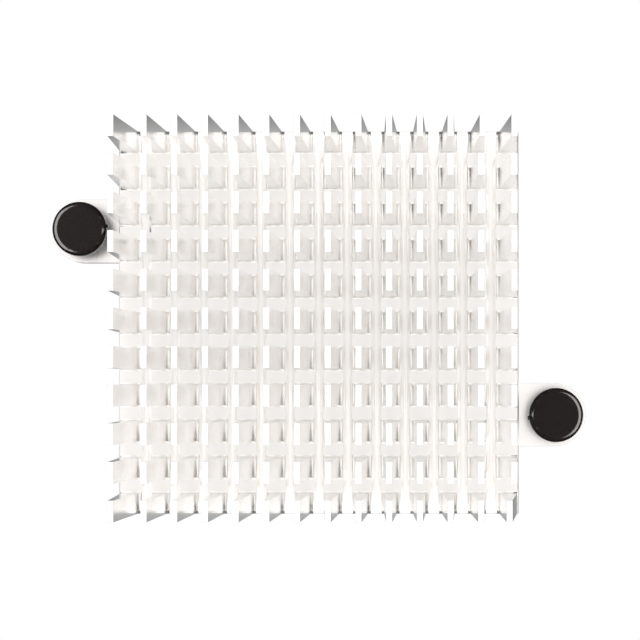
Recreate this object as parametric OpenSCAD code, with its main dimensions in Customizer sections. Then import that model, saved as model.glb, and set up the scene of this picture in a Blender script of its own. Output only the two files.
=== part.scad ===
// Pin fin heat sink with two spring loaded push pins.
//
// The sink is one piece: an aluminium extrusion whose tapered fins run along Y, cross-cut by a gang
// saw into rectangular pins. One ear sticks out of each side, turned half a turn from the other.
// Each ear carries a moulded push pin and a steel spring that holds the pin's head up.
// The origin is the middle of the base's underside, which lies on the chip. +Z points along the pins.

/* [Fins] */
// Number of fins across the width
fin_count = 14; // [4:1:24]
// Distance from fin to fin
fin_pitch = 3.4; // [2.6:0.1:6]
// Thickness of a fin at its tip
fin_tip_t = 0.68; // [0.4:0.02:1.2]
// Radius of the round valley between two fins
valley_r = 0.95; // [0.5:0.05:1]
// Height of the whole sink from underside to fin tips
sink_h = 20; // [8:0.5:40]
// How far the tips of the two edge fins stand out of the pitch
edge_tip_out = 0.28; // [0:0.02:0.6]

/* [Cross cuts] */
// Number of pin rows along the length
row_count = 11; // [2:1:18]
// Width of one saw cut
cut_w = 1.85; // [0.8:0.05:3.5]
// Height of the cut floor above the valley floor
cut_rise = 0.18; // [0.1:0.02:0.5]
// Corner radius of the saw
cut_corner_r = 0.3; // [0.1:0.05:0.4]

/* [Base] */
// Length of the extrusion that the sink is cut to
base_l = 45.2; // [32:0.1:120]
// Thickness of the base under the valleys
base_t = 2.7; // [1.5:0.1:8]
// How far each side of the base lies inside the fins' full pitch
side_trim = 0.15; // [0:0.05:0.3]
// Width of the ledge outside each edge fin
ledge_w = 0.15; // [0.1:0.05:0.6]

/* [Ears] */
// Width of an ear
ear_w = 7.5; // [6:0.1:14]
// Thickness of an ear
ear_t = 1.7; // [1:0.1:2.2]
// Height of the ears' underside above the underside of the base
ear_lift = 0.3; // [0.1:0.05:0.6]
// Distance from the base's side to the middle of the ear's hole
ear_out = 4.25; // [3.6:0.05:12]
// Distance of the hole from the middle of the base along Y
ear_shift = 10.9; // [0:0.1:15]

/* [Bent pins] */
// Sideways bend of the corner pin at its tip
corner_bend = -0.54; // [-0.6:0.02:0.3]
// Sideways bend of the pin beside the far corner
neighbour_bend = 0.16; // [-0.4:0.02:0.4]

/* [Push pins] */
// Diameter of the head
head_d = 6.35; // [5:0.05:8]
// Thickness of the head
head_t = 1.1; // [0.8:0.05:2]
// Diameter of the flat on top of the head
head_flat_d = 5.15; // [4:0.05:7]
// Diameter of the shank
shank_d = 3; // [2:0.1:3.6]
// Diameter of the barbs
barb_d = 3.9; // [3:0.1:4.8]
// Length of the straight part of the barbs
barb_land = 0.6; // [0.4:0.1:1.5]
// Length of the barbs' tapered lead
barb_lead = 2.8; // [1:0.1:5]
// Diameter of the pin's end
tip_d = 2; // [1.4:0.1:2.8]
// Width of the slot that lets the barbs close
slot_w = 0.8; // [0.4:0.1:1.2]
// Depth of the slot above the barbs' shoulder
slot_above = 1.2; // [0.2:0.1:1.8]
// Width of the gate stub on the head's edge
gate_w = 0.45; // [0.2:0.05:0.8]
// How far the gate stub stands out of the head
gate_out = 0.16; // [0.05:0.01:0.3]

/* [Springs] */
// Height of the spring between ear and head
spring_h = 3.3; // [2:0.1:8]
// Thickness of the spring wire
wire_d = 0.4; // [0.2:0.05:0.5]
// Number of turns
spring_turns = 3; // [2.6:0.1:6]

/* [Clearances] */
// Gap around the shank in the ear's hole
shank_clear = 0.15; // [0.05:0.01:0.3]
// Gap between shank and spring
spring_clear = 0.5; // [0.3:0.05:0.7]
// Gap under the ear above the barbs' shoulder
stop_clear = 0.1; // [0.05:0.01:0.3]
// Gap at each end of the spring
seat_clear = 0.02; // [0.01:0.01:0.05]

/* [Hidden] */
$fn = 48;
eps = 0.01;
over = 1;
field_w = fin_count * fin_pitch;
base_w = field_w - 2 * side_trim;
pitch_step = 0.01;
row_pitch = round((base_l + cut_w) / row_count / pitch_step) * pitch_step;
cut_floor = base_t + cut_rise;
valley_z = base_t + valley_r;
edge_root_x = base_w / 2 - ledge_w;
edge_tip_x = (field_w - fin_pitch) / 2 + edge_tip_out;
hole_x = base_w / 2 + ear_out;
ear_top = ear_lift + ear_t;
head_z = ear_top + spring_h;
gate_turn = 6;
coil_r = shank_d / 2 + spring_clear + wire_d / 2;
dead_turns = 0.7;
turn_steps = 24;
wire_sides = 8;

// Middle of fin number i at its tip, counted from the left, from 0
function fin_x(i) =
  i == 0 ? -edge_tip_x :
  i == fin_count - 1 ? edge_tip_x :
  (i - (fin_count - 1) / 2) * fin_pitch;

// Middle of valley number i, between fins i - 1 and i
function valley_x(i) = (i - fin_count / 2) * fin_pitch;

// Middle of saw cut number k, counted from the far end, from 0. The saw's pitch is set in steps,
// so the pins of the two end rows take up what is left over
function cut_y(k) = (row_count / 2 - 1 - k) * row_pitch;

// Border between pin rows j - 1 and j: the middle of a cut, or an end of the sink
function border_y(j) =
  j == 0 ? base_l / 2 :
  j == row_count ? -base_l / 2 :
  cut_y(j - 1);

// Draft of the flank that leaves the valley's round and ends dx beside its middle at the tip
function draft(dx) =
  atan(dx / (sink_h - valley_z)) - asin(valley_r / norm([dx, sink_h - valley_z]));

// Point where a flank of that draft leaves the round, on the side of the valley that way points to
function foot(i, way, dx) =
  [valley_x(i) + way * valley_r * cos(draft(dx)), valley_z - valley_r * sin(draft(dx))];

// Open space between fins i - 1 and i, whose tips may be bent sideways
module valley(i, left_bend = 0, right_bend = 0) {
  left_x = fin_x(i - 1) + fin_tip_t / 2 + left_bend;
  right_x = fin_x(i) - fin_tip_t / 2 + right_bend;
  left_foot = foot(i, -1, valley_x(i) - left_x);
  right_foot = foot(i, 1, right_x - valley_x(i));
  // The flanks carry on past the tips, so that the space is open at the top
  grow = over / (sink_h - valley_z);
  translate([valley_x(i), valley_z])
    circle(valley_r);
  polygon([
    left_foot,
    right_foot,
    [right_x + (right_x - right_foot.x) * grow, sink_h + over],
    [left_x + (left_x - left_foot.x) * grow, sink_h + over]
  ]);
}

// Section of the extrusion before its valleys: base with rounded ledges, and the fins' envelope
module envelope(right_bend = 0) {
  edge_x = edge_tip_x + fin_tip_t / 2;
  translate([-base_w / 2, 0])
    square([base_w, cut_floor - ledge_w]);
  translate([-edge_root_x, 0])
    square([2 * edge_root_x, cut_floor]);
  for (side = [-1, 1])
    translate([side * edge_root_x, cut_floor - ledge_w])
      circle(ledge_w);
  polygon([
    [-edge_root_x, cut_floor],
    [edge_root_x, cut_floor],
    [edge_x + right_bend, sink_h],
    [-edge_x, sink_h]
  ]);
}

module section() {
  difference() {
    envelope();
    for (i = [1 : fin_count - 1])
      valley(i);
  }
}

// Section of fin i alone, above the cut floor, with its tip bent sideways
module bent_section(i, bend) {
  intersection() {
    difference() {
      envelope(i == fin_count - 1 ? bend : 0);
      valley(i, 0, bend);
      if (i < fin_count - 1)
        valley(i + 1, bend, 0);
    }
    pin_window(i);
  }
}

// Window round fin i, from the middle of one valley to the middle of the next
module pin_window(i) {
  translate([valley_x(i), cut_floor])
    square([fin_pitch, sink_h]);
}

// Extrusion along Y, from the far end to the near one
module along_y(far, near) {
  translate([0, far, 0])
    rotate([90, 0, 0])
      linear_extrude(far - near)
        children();
}

// One saw cut across all fins, with the saw's rounded corners
module saw_cut() {
  inner_w = cut_w - 2 * cut_corner_r;
  rotate([90, 0, 90])
    linear_extrude(base_w + 2 * over, center = true) {
      translate([-inner_w / 2, cut_floor])
        square([inner_w, sink_h]);
      translate([-cut_w / 2, cut_floor + cut_corner_r])
        square([cut_w, sink_h]);
      for (side = [-1, 1])
        translate([side * inner_w / 2, cut_floor + cut_corner_r])
          circle(cut_corner_r);
    }
}

module ear() {
  translate([0, 0, ear_lift])
    linear_extrude(ear_t) {
      translate([-hole_x, ear_shift])
        circle(d = ear_w);
      translate([-hole_x, ear_shift - ear_w / 2])
        square([ear_out + over, ear_w]);
    }
}

// The list of bent pins: fin, row and sideways bend at the tip
bent_pins = [
  [fin_count - 1, row_count - 1, corner_bend],
  [fin_count - 2, 0, neighbour_bend]
];

module half_turn() {
  children();
  rotate([0, 0, 180])
    children();
}

module heat_sink() {
  color("gainsboro")
    difference() {
      union() {
        difference() {
          along_y(base_l / 2, -base_l / 2)
            section();
          for (pin = bent_pins)
            along_y(border_y(pin[1]), border_y(pin[1] + 1))
              pin_window(pin[0]);
        }
        for (pin = bent_pins)
          along_y(border_y(pin[1]), border_y(pin[1] + 1))
            bent_section(pin[0], pin[2]);
        half_turn()
          ear();
      }
      for (k = [0 : row_count - 2])
        translate([0, cut_y(k), 0])
          saw_cut();
      half_turn()
        translate([-hole_x, ear_shift, ear_lift - over])
          cylinder(d = shank_d + 2 * shank_clear, h = ear_t + 2 * over);
    }
}

// Push pin about the middle of its ear's hole: head, shank and split barbs
module push_pin() {
  rim_r = (head_d - head_flat_d) / 2;
  shoulder_z = ear_lift - stop_clear;
  end_z = shoulder_z - barb_land - barb_lead;
  difference() {
    union() {
      translate([0, 0, head_z])
        rotate_extrude() {
          square([head_flat_d / 2, head_t]);
          square([head_d / 2, head_t - rim_r]);
          translate([head_flat_d / 2, head_t - rim_r])
            intersection() {
              circle(rim_r);
              square(rim_r);
            }
        }
      rotate([0, 0, gate_turn])
        translate([0, -gate_w / 2, head_z])
          cube([head_d / 2 + gate_out, gate_w, head_t - rim_r]);
      translate([0, 0, shoulder_z])
        cylinder(d = shank_d, h = head_z - shoulder_z + eps);
      translate([0, 0, shoulder_z - barb_land])
        cylinder(d = barb_d, h = barb_land);
      translate([0, 0, end_z])
        cylinder(d1 = tip_d, d2 = barb_d, h = barb_lead);
    }
    translate([-barb_d, -slot_w / 2, end_z - over])
      cube([2 * barb_d, slot_w, shoulder_z + slot_above - end_z + over]);
    translate([-barb_d, 0, shoulder_z + slot_above])
      rotate([0, 90, 0])
        cylinder(d = slot_w, h = 2 * barb_d);
  }
}

// Height of the wire's middle after so many turns: flat end turns and an even climb between
function wire_z(turn) =
  let (climb = (turn - dead_turns) / (spring_turns - 2 * dead_turns))
  wire_d / 2 + seat_clear + (spring_h - wire_d - 2 * seat_clear) * min(1, max(0, climb));

module spring() {
  rings = round(spring_turns * turn_steps);
  points = [
    for (k = [0 : rings])
      let (turn = k * spring_turns / rings, a = 360 * turn)
      for (s = [0 : wire_sides - 1])
        let (b = 360 * (s + 0.5) / wire_sides, r = coil_r + wire_d / 2 * cos(b))
        [r * cos(a), r * sin(a), wire_z(turn) + wire_d / 2 * sin(b)]
  ];
  walls = [
    for (k = [0 : rings - 1])
      for (s = [0 : wire_sides - 1])
        let (n = (s + 1) % wire_sides, low = k * wire_sides, high = low + wire_sides)
        [low + s, low + n, high + n, high + s]
  ];
  first_end = [for (s = [wire_sides - 1 : -1 : 0]) s];
  last_end = [for (s = [0 : wire_sides - 1]) rings * wire_sides + s];
  polyhedron(points, concat(walls, [first_end, last_end]));
}

module left_push_pin() {
  color("#2a2624")
    translate([-hole_x, ear_shift, 0])
      push_pin();
}

module right_push_pin() {
  rotate([0, 0, 180])
    left_push_pin();
}

module left_spring() {
  color("silver")
    translate([-hole_x, ear_shift, ear_top])
      spring();
}

module right_spring() {
  rotate([0, 0, 180])
    left_spring();
}

heat_sink();
left_push_pin();
right_push_pin();
left_spring();
right_spring();
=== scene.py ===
# %% [markdown]
# # A pin fin heat sink with two push pins
# The sink is one aluminium extrusion, cross-cut into rows of pins, with an ear on each side. A black
# nylon push pin and a small spring sit in each ear. The part comes in finished, at its real size and in
# its place, so what is left for Blender is what the eye meets: bright extruded flanks, sawn floors,
# softly broken edges, moulded nylon and plated wire, on a plain pale floor in soft studio light.

# %% Load the part
import math

import bmesh
import bpy
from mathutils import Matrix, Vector


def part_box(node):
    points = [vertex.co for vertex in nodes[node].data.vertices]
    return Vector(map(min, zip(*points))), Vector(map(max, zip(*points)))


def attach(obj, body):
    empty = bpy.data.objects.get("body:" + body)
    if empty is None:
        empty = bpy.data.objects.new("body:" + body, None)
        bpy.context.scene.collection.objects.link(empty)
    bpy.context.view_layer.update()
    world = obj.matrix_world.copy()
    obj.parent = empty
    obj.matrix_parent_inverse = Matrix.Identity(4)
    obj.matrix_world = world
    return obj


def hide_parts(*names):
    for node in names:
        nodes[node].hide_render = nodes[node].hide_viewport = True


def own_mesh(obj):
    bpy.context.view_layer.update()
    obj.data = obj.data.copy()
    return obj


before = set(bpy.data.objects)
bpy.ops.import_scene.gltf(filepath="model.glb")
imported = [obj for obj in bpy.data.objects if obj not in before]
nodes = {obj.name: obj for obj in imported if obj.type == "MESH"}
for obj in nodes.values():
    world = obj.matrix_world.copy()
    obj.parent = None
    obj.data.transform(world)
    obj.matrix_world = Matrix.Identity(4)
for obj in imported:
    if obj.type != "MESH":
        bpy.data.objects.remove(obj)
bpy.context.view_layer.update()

MM = 0.001
sink = nodes["heat_sink"]
push_pins = [nodes["left_push_pin"], nodes["right_push_pin"]]
print("nodes:", sorted(nodes))

# %% [markdown]
# ## The camera
# The sink is seen from straight above, from about a quarter of a metre. So close, the perspective is
# strong: each pin leans away from the point right under the lens. That point lies to the right of the
# sink's middle and towards its front. The camera stands over it and looks straight down, and the lens
# shift slides the picture until the whole sink is in the frame, as a view camera does. Tilting the
# camera instead would make the rows of pins run together.

# %% Camera
under_lens_x = 11.04 * MM
under_lens_y = -7.53 * MM
lens_above_tips = 246 * MM
focal_length = 125    # mm, on a sensor 36 mm wide
tip_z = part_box("heat_sink")[1].z

camera = bpy.data.objects.new("camera", bpy.data.cameras.new("camera"))
bpy.context.scene.collection.objects.link(camera)
camera.location = (under_lens_x, under_lens_y, tip_z + lens_above_tips)
camera.data.sensor_width = 36
camera.data.lens = focal_length
camera.data.shift_x = -0.1439
camera.data.shift_y = 0.1036
camera.data.clip_start = 10 * MM
bpy.context.scene.camera = camera
print("lens height above the origin, mm:", round(camera.location.z / MM, 1))

# %% [markdown]
# ## Small helpers
# Colours are written as sRGB hex values, as a paint program shows them, and a shader wants them linear.
# One function does that for every material here. Another adds a shader node with its settings and its
# links, so that a material reads as a short list of what feeds what. The others start a material, end
# it with its shader, and put it on a piece.

# %% Helpers


def linear(hex_colour):
    """The four linear numbers of a colour such as "#f4f1ec"."""
    parts = [int(hex_colour[at:at + 2], 16) / 255 for at in (1, 3, 5)]
    return [p / 12.92 if p <= 0.04045 else ((p + 0.055) / 1.055) ** 2.4 for p in parts] + [1]


def add(tree, kind, settings=None, links=None):
    """Adds a node. A setting is named by the node's property, or by its socket's name or number.

    A link comes from a socket, or from a node, which stands for its first output.
    """
    node = tree.nodes.new(kind)
    settings = settings or {}
    properties = [name for name in settings if isinstance(name, str) and hasattr(node, name)]
    for name in properties:
        setattr(node, name, settings[name])
    for name in settings:
        if name not in properties:
            node.inputs[name].default_value = settings[name]
    for name, source in (links or {}).items():
        if isinstance(source, bpy.types.Node):
            source = source.outputs[0]
        tree.links.new(source, node.inputs[name])
    return node


def start_material(name):
    """A new material with an empty node tree."""
    material = bpy.data.materials.new(name)
    material.use_nodes = True
    material.node_tree.nodes.clear()
    return material


def end_material(tree, settings, tone, rough, bumps):
    """One shader with the material's colour, roughness and relief. The colour comes from a mix."""
    looks = {"Base Color": tone.outputs[2], "Roughness": rough, "Normal": bumps}
    shader = add(tree, "ShaderNodeBsdfPrincipled", settings, looks)
    add(tree, "ShaderNodeOutputMaterial", links={"Surface": shader})
    print("nodes in the material:", len(tree.nodes))


def dress(piece, material):
    """Gives the piece this material and no other."""
    piece.data.materials.clear()
    piece.data.materials.append(material)


print("a mid grey, linear:", round(linear("#808080")[0], 3))

# %% [markdown]
# ## Aluminium, extruded and sawn
# A press pushes warm aluminium through a die, which leaves fine lines along the fins on every surface
# that it shaped: the flanks, the round valleys, the ears and the tips. The flanks stay bright and almost
# mirror smooth, because nothing can reach between them later. Then a gang of saws cuts across the fins.
# The floors of those cuts and the end faces of the pins carry the marks of the saw's teeth.
#
# It could be a picture wrapped round the mesh, but the lines have to follow each surface for thousands
# of small faces. So the material asks each point where it is and which way its surface faces, and that
# is enough to say which tool made it. Each answer is a mask, 1 on that surface and 0 elsewhere.

# %% Aluminium: which surface is this?
cut_floor = 2.88      # mm above the origin: the floors of the saw cuts
floor_margin = 0.02   # mm
tip_height = 20       # mm
tip_margin = 0.1      # mm
valley_below = 2.95   # mm: the bottom of each valley lies lower
ear_starts = 23.66    # mm from the middle: outside the base there is only ear
facing = 0.9          # how much of the normal lies along an axis when a face looks that way
turning = 0.1         # more than this along the fins, and the die didn't shape it
dead_level = 0.99

aluminium = start_material("aluminium_extruded_and_sawn")
tree = aluminium.node_tree
where = add(tree, "ShaderNodeTexCoord").outputs
in_mm = add(tree, "ShaderNodeVectorMath", {"operation": "SCALE", "Scale": 1 / MM}, {0: where["Object"]})
at = add(tree, "ShaderNodeSeparateXYZ", links={0: in_mm}).outputs
faces = add(tree, "ShaderNodeSeparateXYZ", links={0: where["Normal"]}).outputs
lengthwise = add(tree, "ShaderNodeMath", {"operation": "ABSOLUTE"}, {0: faces["Y"]})
sideways = add(tree, "ShaderNodeMath", {"operation": "ABSOLUTE"}, {0: at["X"]})

mask = {}
for surface, value, comparison, limit in (
        ("end_face", lengthwise, "GREATER_THAN", facing),
        ("curved_or_end", lengthwise, "GREATER_THAN", turning),
        ("level", faces["Z"], "GREATER_THAN", dead_level),
        ("underside", faces["Z"], "LESS_THAN", -facing),
        ("tip", at["Z"], "GREATER_THAN", tip_height - tip_margin),
        ("low", at["Z"], "LESS_THAN", valley_below),
        ("ear", sideways, "GREATER_THAN", ear_starts)):
    mask[surface] = add(tree, "ShaderNodeMath", {"operation": comparison, 1: limit}, {0: value})
mask["at_floor"] = add(tree, "ShaderNodeMath", {"operation": "COMPARE", 1: cut_floor, 2: floor_margin},
                       {0: at["Z"]})
for surface, operation, first, second in (
        ("corner", "SUBTRACT", "curved_or_end", "end_face"),
        ("pad", "MULTIPLY", "level", "at_floor"),
        ("sawn_floor", "MAXIMUM", "pad", "corner"),
        ("sawn", "MAXIMUM", "end_face", "sawn_floor"),
        ("no_valley", "MAXIMUM", "sawn", "ear"),
        ("valley", "GREATER_THAN", "low", "no_valley")):
    mask[surface] = add(tree, "ShaderNodeMath", {"operation": operation}, {0: mask[first], 1: mask[second]})
print("surfaces told apart:", ", ".join(mask))

# %% [markdown]
# ### The marks of three tools
# The die's lines run along the fins, so they depend on height and on the place across the fins, and
# never on the place along them. A saw tooth leaves a shallow arc of the blade's radius, and the next
# arc lies one feed further on. So a point on a sawn face is known by where its arc starts at the
# bottom of the cut, which circle geometry gives. The underside is milled flat with one wide cutter,
# whose marks are rings about a far centre.

# %% Aluminium: the marks
die_line = 0.25       # mm from one die line to the next. Real ones are finer and wouldn't show
feed_per_tooth = 0.3  # mm between saw marks. Real ones are finer and wouldn't show
blade_r = 50          # mm
mill_feed = 0.5       # mm between the milling marks
mill_centre = (15, -70, 0)  # mm, the middle of the rings

across = add(tree, "ShaderNodeCombineXYZ", links={0: at["X"], 1: at["Z"]})
die_lines = add(tree, "ShaderNodeTexNoise",
                {"noise_dimensions": "2D", "Scale": 1 / die_line, "Detail": 4, "Roughness": 0.6},
                {"Vector": across})

above_floor = add(tree, "ShaderNodeMath", {"operation": "SUBTRACT", 1: cut_floor}, {0: at["Z"]})
above_floor = add(tree, "ShaderNodeMath", {"operation": "MAXIMUM", 1: 0}, {0: above_floor})
rest_of_blade = add(tree, "ShaderNodeMath", {"operation": "SUBTRACT", 0: 2 * blade_r}, {1: above_floor})
product = add(tree, "ShaderNodeMath", {"operation": "MULTIPLY"}, {0: above_floor, 1: rest_of_blade})
reach = add(tree, "ShaderNodeMath", {"operation": "SQRT"}, {0: product})
arc_start = add(tree, "ShaderNodeMath", {"operation": "SUBTRACT"}, {0: at["X"], 1: reach})
saw_marks = add(tree, "ShaderNodeTexNoise",
                {"noise_dimensions": "1D", "Scale": 1 / feed_per_tooth, "Detail": 3, "Roughness": 0.5},
                {"W": arc_start})

from_centre = add(tree, "ShaderNodeVectorMath", {"operation": "DISTANCE", 1: mill_centre}, {0: in_mm})
mill_marks = add(tree, "ShaderNodeTexNoise",
                 {"noise_dimensions": "1D", "Scale": 1 / mill_feed, "Detail": 2},
                 {"W": from_centre.outputs["Value"]})

marks = add(tree, "ShaderNodeMix", {"data_type": "FLOAT"}, {0: mask["sawn"], 2: die_lines, 3: saw_marks})
marks = add(tree, "ShaderNodeMix", {"data_type": "FLOAT"}, {0: mask["underside"], 2: marks, 3: mill_marks})
print("marks, mm: die", die_line, "saw", feed_per_tooth, "mill", mill_feed)

# %% [markdown]
# ### Roughness, tint, relief and painted shade
# One metal has one colour, so the surfaces differ in how sharply they reflect. The marks make the
# roughness waver a little and give a relief, at most two hundredths of a millimetre deep. The saw's
# marks show the most, and the die's lines hardly at all. The tint is warm only by a hair: between the
# pins light bounces many times, and each bounce adds the tint again. At the roots the metal is painted
# a little darker, as painted shade for the dimmer light deep between the pins.

# %% Aluminium: the finish
rough_flank = 0.16
rough_there = {"end_face": 0.18, "pad": 0.3, "tip": 0.42, "ear": 0.28, "valley": 0.3, "underside": 0.32}
waver = 0.06           # how far the marks move the roughness
relief = 0.02 * MM
relief_shaped = 0.08   # share of the relief on what the die shaped
relief_sawn = 0.6      # share on the sawn end faces
# Painted shade: the roots between the pins are coloured darker, standing in for the dimmer light down there.
root_shade_full = 3.3       # mm above the origin: up to here the roots are as dark as they get
root_shade_gone = 4.5       # mm
root_shade_slope = 0.8      # the painted shade stays only where the surface looks up more than this
root_shade_level = 0.97

rough = add(tree, "ShaderNodeMath", {"operation": "MULTIPLY_ADD", 1: waver, 2: rough_flank - waver / 2},
            {0: marks})
for surface, roughness in rough_there.items():
    rough = add(tree, "ShaderNodeMath", {"operation": "MULTIPLY_ADD", 1: roughness - rough_flank},
                {0: mask[surface], 2: rough})

tone = add(tree, "ShaderNodeMix", {"data_type": "RGBA", 6: linear("#fcfbfa"), 7: linear("#fefdfc")},
           {0: marks})
# Painted shade: the colour turns darker, to #ebe8e5, low down on surfaces that look up, deep between the
# pins.
painted_root_shade = add(tree, "ShaderNodeMapRange",
           {"From Min": root_shade_full, "From Max": root_shade_gone, "To Min": 1.0, "To Max": 0.0},
           {"Value": at["Z"]})
looks_up = add(tree, "ShaderNodeMapRange", {"From Min": root_shade_slope, "From Max": root_shade_level},
               {"Value": faces["Z"]})
painted_root_shade = add(tree, "ShaderNodeMath", {"operation": "MULTIPLY"}, {0: painted_root_shade, 1: looks_up})
tone = add(tree, "ShaderNodeMix", {"data_type": "RGBA", 7: linear("#ebe8e5")}, {0: painted_root_shade, 6: tone.outputs[2]})

depth = add(tree, "ShaderNodeMath",
            {"operation": "MULTIPLY_ADD", 1: relief_sawn - relief_shaped, 2: relief_shaped},
            {0: mask["end_face"]})
bumps = add(tree, "ShaderNodeBump", {"Distance": relief}, {"Height": marks, "Strength": depth})
end_material(tree, {"Metallic": 1.0}, tone, rough, bumps)
dress(sink, aluminium)

# %% [markdown]
# ## Broken edges
# No real edge is perfectly sharp. Tumbling after the saw breaks the sink's edges by some hundredths of
# a millimetre, and the mould does the same for the nylon. That thin round catches the light. A Bevel
# modifier rounds the edges on the finished mesh, but the mesh comes in with its sharp edges split open
# and its flats cut into triangles. So a Weld modifier joins the edges first, and a Decimate modifier
# makes each flat whole again, which leaves the bevel room at every edge. All three are modifiers, so
# the mesh underneath stays as it was measured.

# %% Break the edges
weld_gap = 0.001 * MM
flat_within = 0.5     # degrees between two faces that are one flat


def break_edges(piece, width, angle):
    """Makes the flats whole and rounds every edge that is sharper than the angle, in degrees."""
    weld = piece.modifiers.new("weld", "WELD")
    weld.merge_threshold = weld_gap
    flats = piece.modifiers.new("whole_flats", "DECIMATE")
    flats.decimate_type = "DISSOLVE"
    flats.angle_limit = math.radians(flat_within)
    bevel = piece.modifiers.new("broken_edges", "BEVEL")
    bevel.width = width
    bevel.segments = 2
    bevel.limit_method = "ANGLE"
    bevel.angle_limit = math.radians(angle)
    bevel.harden_normals = True
    bevel.use_clamp_overlap = False
    shown = piece.evaluated_get(bpy.context.evaluated_depsgraph_get())
    print(piece.name, "triangles:", sum(len(face.vertices) - 2 for face in shown.data.polygons))


break_edges(sink, 0.06 * MM, 40)
for push_pin in push_pins:
    break_edges(push_pin, 0.04 * MM, 50)

# %% [markdown]
# ## Black nylon, injection moulded
# The push pins are black PA66 from a polished mould, glossy all over. The flat face of the mould was
# spark eroded before it was polished, so the top of the head keeps a faint, even grain, and the rest
# has almost none. The flow of the melt leaves a hardly visible mottle in the black, which is a little
# warm. Nylon has an IOR of about 1.53. Two materials could be laid on the faces, but one covers it:
# the grain fades out wherever the surface isn't level. The share of the light that it mirrors is set
# below nylon's own, since in an even white tent the whole head would turn grey.

# %% Nylon
grain = 0.22          # mm. A real spark eroded grain is about half of this and wouldn't show
mottle = 0.8          # per mm, how closely the flow marks lie
rough_rim = 0.13
rough_flat = 0.11
rough_grain = 0.06    # how far the grain moves the roughness
grain_depth = 0.02 * MM
grain_rim = 0.03      # share of the depth where the surface isn't level
grain_flat = 0.25     # share on the flat top

nylon = start_material("nylon_moulded_black")
tree = nylon.node_tree
where = add(tree, "ShaderNodeTexCoord").outputs
in_mm = add(tree, "ShaderNodeVectorMath", {"operation": "SCALE", "Scale": 1 / MM}, {0: where["Object"]})
faces = add(tree, "ShaderNodeSeparateXYZ", links={0: where["Normal"]}).outputs
flat_top = add(tree, "ShaderNodeMapRange", {"From Min": 0.97, "From Max": 0.995}, {"Value": faces["Z"]})
eroded = add(tree, "ShaderNodeTexNoise", {"Scale": 1 / grain, "Detail": 3, "Roughness": 0.6},
             {"Vector": in_mm})
flow = add(tree, "ShaderNodeTexNoise", {"Scale": mottle, "Detail": 3, "Distortion": 1.5},
           {"Vector": in_mm})
tone = add(tree, "ShaderNodeMix", {"data_type": "RGBA", 6: linear("#050201"), 7: linear("#170b07")},
           {0: flow})
rough = add(tree, "ShaderNodeMapRange", {"To Min": rough_rim, "To Max": rough_flat}, {"Value": flat_top})
rough = add(tree, "ShaderNodeMath", {"operation": "MULTIPLY_ADD", 1: rough_grain}, {0: eroded, 2: rough})
depth = add(tree, "ShaderNodeMapRange", {"To Min": grain_rim, "To Max": grain_flat}, {"Value": flat_top})
bumps = add(tree, "ShaderNodeBump", {"Distance": grain_depth}, {"Height": eroded, "Strength": depth})
end_material(tree, {"IOR": 1.53, "Specular IOR Level": 0.11}, tone, rough, bumps)
for push_pin in push_pins:
    dress(push_pin, nylon)

# %% [markdown]
# ## The springs
# A compression spring of thin plated steel wire stands round each pin's shank. In the part it is a
# coarse coil with eight sides. Here it is wound again, finely, along the same path: flat end turns that
# the ear and the head press on, and an even climb between them. A curve with a round bevel could do it
# too, but a mesh lets the drawing lines run along the wire.

# %% Spring
coil_r = 2.2          # mm from the spring's axis to the middle of the wire
wire_d = 0.4          # mm
turns = 3
end_turns = 0.7       # flat turns at each end
spring_h = 3.3        # mm, from the ear to the head
end_gap = 0.02        # mm at each end
ear_top = 2.0         # mm above the origin
steps_per_turn = 60
wire_sides = 16


def wire_height(turn):
    """Height of the wire's middle above the ear, in mm, after so many turns."""
    climb = min(1, max(0, (turn - end_turns) / (turns - 2 * end_turns)))
    return wire_d / 2 + end_gap + (spring_h - wire_d - 2 * end_gap) * climb


def wind_spring(name, axis_x, axis_y, first_angle):
    """A spring of round wire on an upright axis, as a mesh with a UV map that runs along the wire."""
    mesh = bmesh.new()
    along = mesh.loops.layers.uv.new("wire")
    count = turns * steps_per_turn
    rings = []
    for step in range(count + 1):
        turn = step / steps_per_turn
        angle = first_angle + 2 * math.pi * turn
        ring = []
        for side in range(wire_sides):
            round_wire = 2 * math.pi * side / wire_sides
            r = coil_r + wire_d / 2 * math.cos(round_wire)
            z = ear_top + wire_height(turn) + wire_d / 2 * math.sin(round_wire)
            place = Vector((axis_x + r * math.cos(angle), axis_y + r * math.sin(angle), z))
            ring.append(mesh.verts.new(place * MM))
        rings.append(ring)
    for step in range(count):
        for side in range(wire_sides):
            after = (side + 1) % wire_sides
            corners = (rings[step][side], rings[step + 1][side], rings[step + 1][after], rings[step][after])
            face = mesh.faces.new(corners)
            face.smooth = True
            lengths = (step, step + 1, step + 1, step)
            turns_round = (side, side, side + 1, side + 1)
            for loop, length, part in zip(face.loops, lengths, turns_round):
                loop[along].uv = (part / wire_sides, length / steps_per_turn)
    mesh.faces.new(reversed(rings[0]))
    mesh.faces.new(rings[-1])
    bmesh.ops.recalc_face_normals(mesh, faces=mesh.faces)
    data = bpy.data.meshes.new(name)
    mesh.to_mesh(data)
    mesh.free()
    piece = bpy.data.objects.new(name, data)
    bpy.context.scene.collection.objects.link(piece)
    print(name, "faces:", len(data.polygons))
    return piece


print("wire's middle above the ear, mm:", [round(wire_height(turn), 2) for turn in range(turns + 1)])

# %% [markdown]
# ### Drawn and plated wire
# Spring wire is pulled through ever smaller dies, which leaves fine lines along it, and then plated
# with zinc, a slightly blue grey metal that reflects softly. The UV map's first coordinate goes round
# the wire, so a noise that is squeezed in that direction becomes lines along it.

# %% Wire finish
draw_lines = 24       # lines round the wire. Real ones are finer and wouldn't show
line_breaks = 3       # how often a line changes in one turn of the coil

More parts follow.
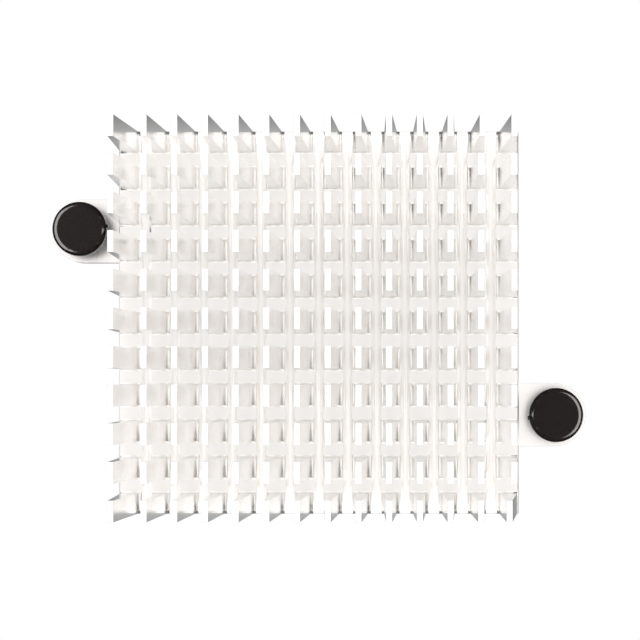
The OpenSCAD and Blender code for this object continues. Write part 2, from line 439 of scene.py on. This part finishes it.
plated = start_material("spring_steel_drawn_zinc_plated")
tree = plated.node_tree
where = add(tree, "ShaderNodeUVMap", {"uv_map": "wire"})
stretched = add(tree, "ShaderNodeVectorMath", {"operation": "MULTIPLY", 1: (draw_lines, line_breaks, 0)},
                {0: where})
drawn = add(tree, "ShaderNodeTexNoise", {"noise_dimensions": "2D", "Scale": 1, "Detail": 3},
            {"Vector": stretched})
tone = add(tree, "ShaderNodeMix", {"data_type": "RGBA", 6: linear("#aeb1b3"), 7: linear("#d0d2d3")},
           {0: drawn})
rough = add(tree, "ShaderNodeMapRange", {"To Min": 0.22, "To Max": 0.42}, {"Value": drawn})
bumps = add(tree, "ShaderNodeBump", {"Strength": 0.4, "Distance": 0.004 * MM}, {"Height": drawn})
end_material(tree, {"Metallic": 1.0}, tone, rough, bumps)

# %% [markdown]
# ### Put the springs in place
# Each spring stands on the sink, so it rides with it.

# %% Springs in place
hole_x = 27.9         # mm from the middle to the ear's hole
hole_y = 10.9
press = 2.0           # mm of travel
springs = []
for side, x, y, first_angle in (("left", -hole_x, hole_y, 0), ("right", hole_x, -hole_y, math.pi)):
    spring = wind_spring(f"{side}_wire_spring", x, y, first_angle)
    dress(spring, plated)
    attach(spring, "sink")
    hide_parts(f"{side}_spring")
    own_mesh(spring)
    springs.append(spring)
print("springs:", [spring.name for spring in springs])

# %% [markdown]
# ## The floor
# The sink lies over a lit white table, as in a catalogue picture: the floor is pure white to the eye,
# but sends little light up between the pins. A light table that is masked off round the object does
# that. Here the shader does the masking. It is white where it is looked at and dim for light that
# bounces, so the pins at the border keep their soft dark wedges. A little more light comes up right
# next to the base. The floor lies just under the barbs of the pins when they are pressed.

# %% Floor
floor_half = 3        # metres
travel = press * MM
under_pins = 0.2 * MM
seen = 1.0            # how bright the floor is to the camera
near = 0.5            # and to bounced light, next to the base
far = 0.16
fade = 4 * MM         # from near to far
white = linear("#ffffff")

floor_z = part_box("left_push_pin")[0].z - travel - under_pins
corners = [(x * floor_half, y * floor_half, 0) for x, y in ((-1, -1), (1, -1), (1, 1), (-1, 1))]
floor_mesh = bpy.data.meshes.new("floor")
floor_mesh.from_pydata(corners, [], [(0, 1, 2, 3)])
floor = bpy.data.objects.new("floor", floor_mesh)
floor.location.z = floor_z
bpy.context.scene.collection.objects.link(floor)

base_half = (ear_starts * MM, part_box("heat_sink")[1].y, 0)
paper = start_material("white_light_table")
tree = paper.node_tree
where = add(tree, "ShaderNodeTexCoord").outputs
spot = add(tree, "ShaderNodeVectorMath", {"operation": "ABSOLUTE"}, {0: where["Object"]})
outside = add(tree, "ShaderNodeVectorMath", {"operation": "SUBTRACT", 1: base_half}, {0: spot})
beyond = add(tree, "ShaderNodeSeparateXYZ", links={0: outside}).outputs
distance = add(tree, "ShaderNodeMath", {"operation": "MAXIMUM"}, {0: beyond["X"], 1: beyond["Y"]})
glow = add(tree, "ShaderNodeMapRange", {"From Max": fade, "To Min": near, "To Max": far}, {"Value": distance})
bright = add(tree, "ShaderNodeEmission", {"Color": white, "Strength": seen})
dim = add(tree, "ShaderNodeEmission", {"Color": white}, {"Strength": glow})
path = add(tree, "ShaderNodeLightPath").outputs
mix = add(tree, "ShaderNodeMixShader", links={0: path["Is Camera Ray"], 1: dim, 2: bright})
add(tree, "ShaderNodeOutputMaterial", links={"Surface": mix})
dress(floor, paper)
print("floor height, mm:", round(floor_z / MM, 2))

# %% [markdown]
# ## Soft light all round
# A light tent lights the sink evenly from all sides, so the bright metal reflects white almost
# everywhere. That is the world's light here. Light that falls between two pins leaves only after many
# reflections, so the render follows more bounces than it usually would.

# %% The tent
tent = 1.3
skirt = 0.4           # the tent's brightness at the table's height, as a share of the rest
skirt_height = 0.12   # how high the darker skirt reaches, as the sine of its elevation
bounces = 32
diffuse_bounces = 8

world = bpy.data.worlds.new("light_tent")
bpy.context.scene.world = world
world.use_nodes = True
tree = world.node_tree
tree.nodes.clear()
sky = add(tree, "ShaderNodeTexCoord").outputs
upwards = add(tree, "ShaderNodeSeparateXYZ", links={0: sky["Generated"]}).outputs
power = add(tree, "ShaderNodeMapRange",
            {"interpolation_type": "SMOOTHSTEP", "From Max": skirt_height,
             "To Min": tent * skirt, "To Max": tent},
            {"Value": upwards["Z"]})
background = add(tree, "ShaderNodeBackground", {"Color": white}, {"Strength": power})
add(tree, "ShaderNodeOutputWorld", links={"Surface": background})
bpy.context.scene.view_settings.view_transform = "Standard"
bpy.context.scene.cycles.max_bounces = bounces
bpy.context.scene.cycles.glossy_bounces = bounces
bpy.context.scene.cycles.diffuse_bounces = diffuse_bounces
print("tent:", tent, "at the table:", round(tent * skirt, 2), "bounces:", bounces)

# %% [markdown]
# ## Two side lights for the black heads
# Black gloss shows only what it reflects. A strip light on the left and one on the right draw a
# bright crescent on each side of a head's round rim. Flags would keep them off the metal in a real
# studio. Light linking does the same: these two lights fall on the nylon alone.

# %% Side lights
strip_power = 80      # watts
strip_out = 0.5       # metres from the middle
strip_up = 0.55
strip_size = (1.2, 0.66)  # along the sink, and across the light's slope

nylon_only = bpy.data.collections.new("nylon_only")
for push_pin in push_pins:
    nylon_only.objects.link(push_pin)
for side, sign in (("left", -1), ("right", 1)):
    lamp = bpy.data.lights.new(f"{side}_strip", "AREA")
    lamp.shape = "RECTANGLE"
    lamp.size, lamp.size_y = strip_size
    lamp.energy = strip_power
    strip = bpy.data.objects.new(f"{side}_strip", lamp)
    strip.location = (sign * strip_out, 0, strip_up)
    strip.rotation_euler = (-strip.location).to_track_quat("-Z", "Y").to_euler()
    strip.visible_camera = False
    strip.visible_diffuse = False
    strip.light_linking.receiver_collection = nylon_only
    bpy.context.scene.collection.objects.link(strip)
print("side lights on:", [push_pin.name for push_pin in push_pins])
